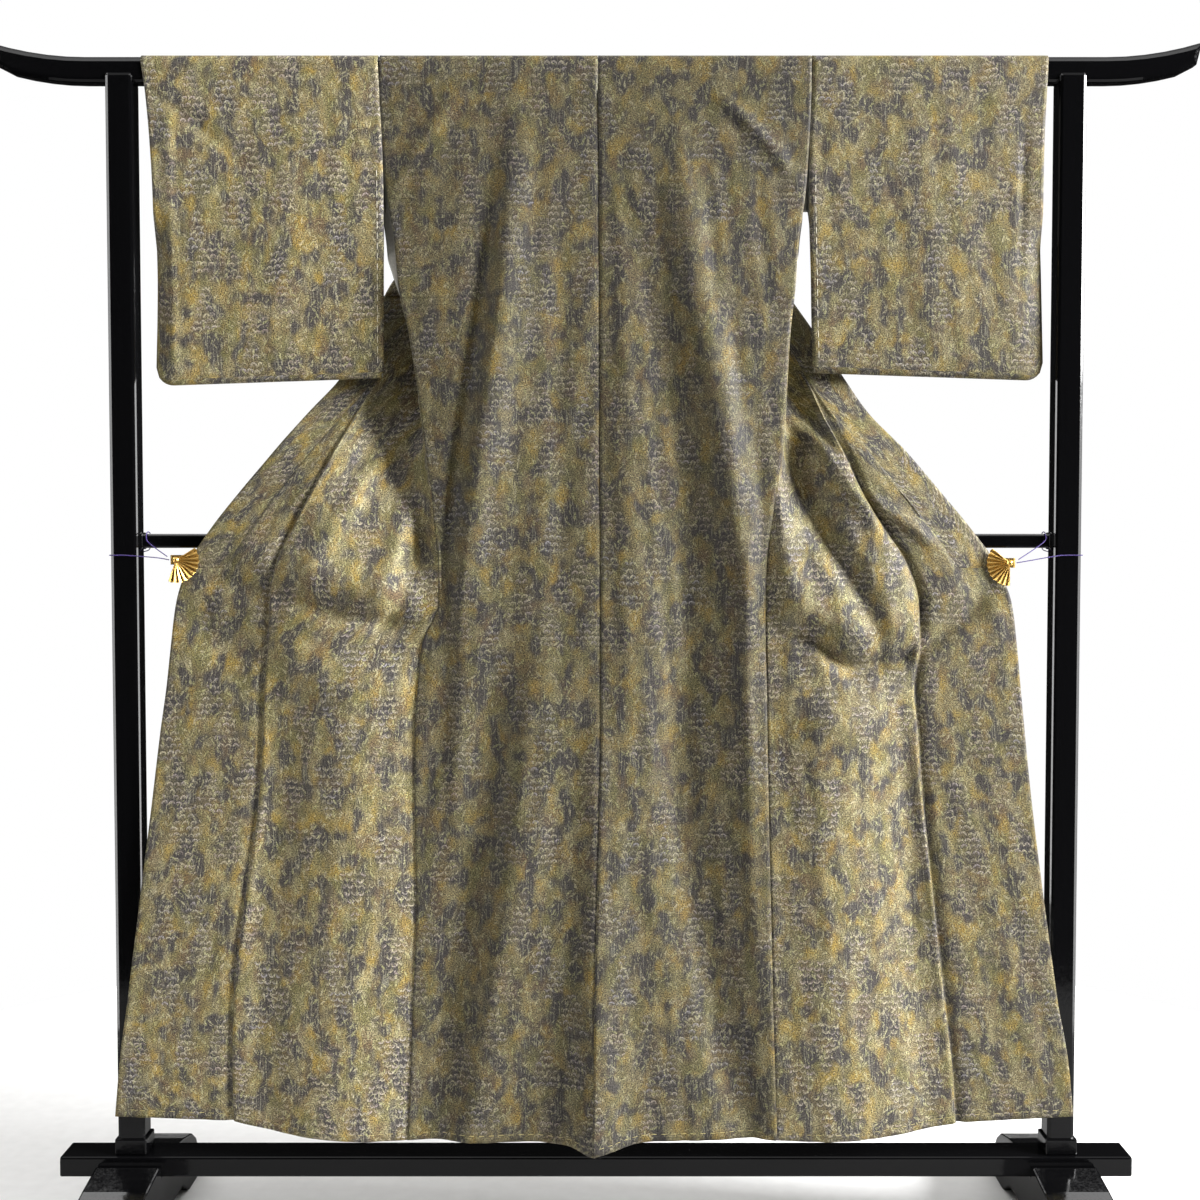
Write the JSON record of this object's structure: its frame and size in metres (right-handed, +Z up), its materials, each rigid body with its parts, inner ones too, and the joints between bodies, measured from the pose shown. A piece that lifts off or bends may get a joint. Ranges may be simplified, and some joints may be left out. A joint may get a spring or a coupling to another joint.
{
  "type": "silk kimono on a lacquered display rack",
  "caption": "Silk kimono spread over a black lacquered rack, back to the front, its fronts drawn out to the sides by fan clips and cords.",
  "frame": {"origin": "on the floor, midway between the two posts and midway between the front and back ends of the feet", "axes": "+Z up, +X along the rack's rail, +Y away from the side that shows the garment's back; the garment's back faces -Y"},
  "size_m": [1.77, 0.4, 1.759],
  "materials": {
    "silk": "soft silk sheen, mottled olive, ochre and grey-violet with small lupines and leaves, grey-white lining",
    "silk_collar": "the same silk, folded double",
    "lacquer": "black lacquer, polished to a gloss",
    "gilt": "gold plated, polished",
    "violet_cord": "twisted silk cord, dark violet"
  },
  "bodies": {
    "root": {"body_left": "silk", "body_right": "silk", "okumi_left": "silk", "okumi_right": "silk", "sleeve_left": "silk", "sleeve_right": "silk", "collar": "silk_collar", "over_collar": "silk_collar", "top_rail": "lacquer", "cross_bar": "lacquer", "base_board": "lacquer", "post_left": "lacquer", "post_right": "lacquer", "foot_left": "lacquer", "foot_right": "lacquer", "fan_left": "gilt", "fan_right": "gilt", "clip_left": "gilt", "clip_right": "gilt", "cord_left": "violet_cord", "cord_right": "violet_cord"}
  },
  "joints": []
}
